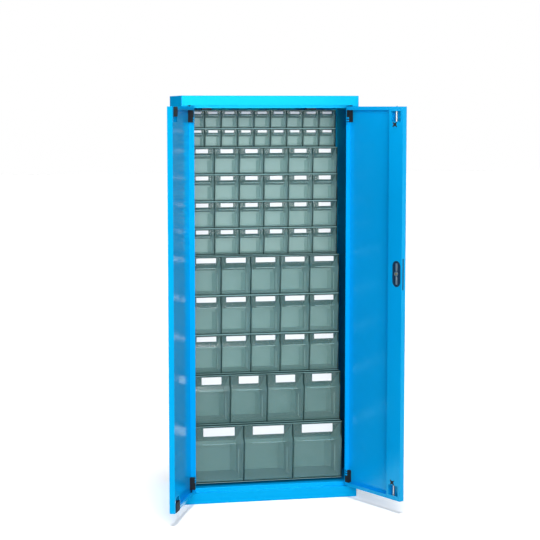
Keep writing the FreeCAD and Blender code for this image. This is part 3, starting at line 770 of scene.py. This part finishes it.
# Lock: a plastic case in the channel, its drive seen through the oval window: two steel bars and, on the end
# of the spindle, a cam held by a brass screw. Outside, a moulded lever with a key cylinder turns the spindle.
LEVER_EDGE = 3.0 * MM
CAM_EDGE = 0.5 * MM
BAR_WIDTH = 9.0 * MM
BAR_LENGTH = 30 * MM
BAR_THICKNESS = 0.9 * MM
BAR_GAP = 1.5 * MM
DISC_SIDES = 32
SCREW_RADIUS = 4.5 * MM
SCREW_HEIGHT = 1.5 * MM
SCREW_SLOT = 1.2 * MM
CYLINDER_RADIUS = 6.5 * MM
CYLINDER_HEIGHT = 0.9 * MM
KEY_SLOT = 1.6 * MM
KEY_SLOT_LENGTH = 7.0 * MM
BRASS_ROUGHNESS = (0.25, 0.42)
# The lock case is coloured dark blue as painted shade: it stands for the blue inside of the channel in shadow,
# seen through the oval window.
lock_case_painted_shade_nylon = moulded_plastic("lock_case_painted_shade_nylon", "06263C", "0A3350", NYLON_ROUGHNESS, NYLON_GLINT)
moulded_copy("lock_case", lock_case_painted_shade_nylon, BLOCK_EDGE)
moulded_copy("lock_handle", black_nylon, LEVER_EDGE, segments=3)
moulded_copy("lock_cam", bright_zinc, CAM_EDGE)


def turned_brass():
    """Turned brass: warm yellow metal with fine marks from the tool, drawn coarser than real ones to show."""
    brass = new_material("turned_brass")
    marks = noise(brass, object_place(brass), PLATING_SCRATCH, 2.0)
    return shade(
        brass,
        {
            "Base Color": blend(brass, marks, "A98B45", "CDB169"),
            "Metallic": 1.0,
            "Roughness": between(brass, marks, BRASS_ROUGHNESS),
        },
    )


def slotted_disc(name, radius, thickness, slot_width, slot_length):
    """A round head about the origin that looks along Y, with a slot cut through it."""
    bpy.ops.object.select_all(action="DESELECT")
    bpy.ops.mesh.primitive_cylinder_add(vertices=DISC_SIDES, radius=radius, depth=thickness)
    piece = bpy.context.object
    piece.name = name
    bpy.ops.object.mode_set(mode="EDIT")
    bpy.ops.mesh.select_mode(type="FACE")
    bpy.ops.mesh.select_all(action="DESELECT")
    for end in (-1, 1):
        select_faces(piece, (0, 0, end))
        bpy.ops.mesh.bevel(offset=thickness / 4, segments=1, affect="EDGES")
    bpy.ops.object.mode_set(mode="OBJECT")
    piece.data.transform(Matrix.Rotation(math.pi / 2, 4, "X"))
    cutter = new_block(f"{name}_slot", (slot_length, 2 * thickness, slot_width))
    bpy.ops.object.mode_set(mode="OBJECT")
    select_only(piece)
    slot = piece.modifiers.new("slot", "BOOLEAN")
    slot.operation = "DIFFERENCE"
    slot.object = cutter
    bpy.ops.object.modifier_apply(modifier=slot.name)
    bpy.data.objects.remove(cutter)
    return piece


cam_low, cam_high = door_box("right", "lock_cam")
lock_x = (cam_low.x + cam_high.x) / 2
lock_z = (cam_low.z + cam_high.z) / 2
bar_offset = (cam_high.z - cam_low.z) / 2 + BAR_GAP + BAR_LENGTH / 2
bars = new_block("lock_drive_bars", (BAR_WIDTH, BAR_THICKNESS, BAR_LENGTH))
select_edges(bars, lambda start, end: min(start.y, end.y) > 0)
bpy.ops.mesh.bevel(offset=BAR_THICKNESS / 3, segments=1, affect="EDGES")
bpy.ops.object.mode_set(mode="OBJECT")
spread_copies(
    bars,
    [on_door("right", lock_x, cam_low.y + BAR_THICKNESS / 2, lock_z + end * bar_offset) for end in (-1, 1)],
)
dress(bars, "right_door", bright_zinc)
screw = slotted_disc("lock_cam_screw", SCREW_RADIUS, SCREW_HEIGHT, SCREW_SLOT, 2 * SCREW_RADIUS)
spread_copies(screw, [on_door("right", lock_x, cam_high.y + SCREW_HEIGHT / 2, lock_z)])
dress(screw, "lock_handle", turned_brass())
lever_front = door_box("right", "lock_handle")[0].y
cylinder = slotted_disc("lock_key_cylinder", CYLINDER_RADIUS, CYLINDER_HEIGHT, KEY_SLOT, KEY_SLOT_LENGTH)
spread_copies(cylinder, [on_door("right", lock_x, lever_front - CYLINDER_HEIGHT / 2, lock_z)])
dress(cylinder, "lock_handle", bright_zinc)

# Studio: a pale floor, white all round, a large soft key from the front, weaker lamps from left and above.
# The camera and mirrors see the floor a little over white, so that it meets the background without an edge
# and only the shadow stays darker. What it throws back on the object is less.
FLOOR_SIDE = 60.0
FLOOR_BOUNCE = 0.4
FLOOR_COLOUR = 1.2
FLOOR_GLOW = 0.1
WORLD_LIGHT = 0.15


def shows_background(owner):
    """One for camera, mirror and see-through rays, and zero for the rays that light the object."""
    path = add_node(owner, "ShaderNodeLightPath")
    mirror = add_node(
        owner,
        "ShaderNodeMath",
        {0: path.outputs["Is Camera Ray"], 1: path.outputs["Is Glossy Ray"]},
        operation="MAXIMUM",
    )
    through = add_node(
        owner,
        "ShaderNodeMath",
        {0: mirror.outputs["Value"], 1: path.outputs["Is Transmission Ray"]},
        operation="MAXIMUM",
    )
    return through.outputs["Value"]


bpy.ops.object.select_all(action="DESELECT")
bpy.ops.mesh.primitive_plane_add(size=FLOOR_SIDE)
floor = bpy.context.object
floor.name = "floor"
floor_finish = new_material("pale_floor")
seen = shows_background(floor_finish)
pale = between(floor_finish, seen, (FLOOR_BOUNCE, FLOOR_COLOUR))
glow = between(floor_finish, seen, (0.0, FLOOR_GLOW))
matt = add_node(floor_finish, "ShaderNodeBsdfDiffuse", {"Color": pale})
light = add_node(floor_finish, "ShaderNodeEmission", {"Strength": glow})
both = add_node(floor_finish, "ShaderNodeAddShader", {0: matt.outputs["BSDF"], 1: light.outputs["Emission"]})
add_node(floor_finish, "ShaderNodeOutputMaterial", {"Surface": both.outputs["Shader"]})
floor.data.materials.append(floor_finish)

world = bpy.data.worlds.new("studio")
world.use_nodes = True
world.node_tree.nodes.clear()
ambient = add_node(world, "ShaderNodeBackground", {"Strength": WORLD_LIGHT})
white = add_node(world, "ShaderNodeBackground", {"Strength": 1.0})
for shade in (ambient, white):
    shade.inputs["Color"].default_value = linear("FFFFFF")
chosen = add_node(
    world,
    "ShaderNodeMixShader",
    {0: shows_background(world), 1: ambient.outputs["Background"], 2: white.outputs["Background"]},
)
add_node(world, "ShaderNodeOutputWorld", {"Surface": chosen.outputs["Shader"]})
bpy.context.scene.world = world

# The key is a wide softbox that looks a little down at the upper half, so its light falls off to the floor.
KEY_PLACE = Vector((-0.25, -5.2, 2.3))
KEY_AIM = Vector((-0.25, 0.0, 1.7))
KEY_SIDE = 3.6
KEY_POWER = 90.0
KEY_SPREAD = math.radians(98)
softbox = bpy.data.lights.new("key", "AREA")
softbox.size = KEY_SIDE
softbox.energy = KEY_POWER
softbox.spread = KEY_SPREAD
key = bpy.data.objects.new("key", softbox)
key.location = KEY_PLACE
key.rotation_euler = (KEY_PLACE - KEY_AIM).to_track_quat("Z", "Y").to_euler()
key.visible_camera = False
bpy.context.scene.collection.objects.link(key)

# Each other lamp: where it comes from, how bright a white face square to it gets, and its width in degrees.
LAMPS = {
    "fill": ((-0.97, 0.10, 0.20), 0.3, 30),
    "top": ((0.0, -0.12, 0.99), 0.6, 18),
}
for name, (source, level, width) in LAMPS.items():
    lamp = bpy.data.lights.new(name, "SUN")
    lamp.energy = level * math.pi
    lamp.angle = math.radians(width)
    holder = bpy.data.objects.new(name, lamp)
    holder.rotation_euler = Vector(source).to_track_quat("Z", "Y").to_euler()
    bpy.context.scene.collection.objects.link(holder)

# Camera: at the height of the header, to the left of the cabinet and well back, with a long lens that looks a
# little down.
CAMERA_PLACE = Vector((-1.119, -5.981, 1.591))
CAMERA_YAW = 0.190
CAMERA_TILT = math.radians(5.416)
CAMERA_SHIFT = -0.04
SENSOR = 36.0
LENS = 98.71
camera = bpy.data.objects.new("camera", bpy.data.cameras.new("camera"))
camera.data.sensor_width = SENSOR
camera.data.lens = LENS
camera.data.shift_y = CAMERA_SHIFT
camera.location = CAMERA_PLACE
camera.rotation_euler = (math.pi / 2 - CAMERA_TILT, 0, -CAMERA_YAW)
bpy.context.scene.collection.objects.link(camera)
bpy.context.scene.camera = camera
bpy.context.scene.view_settings.view_transform = "Standard"
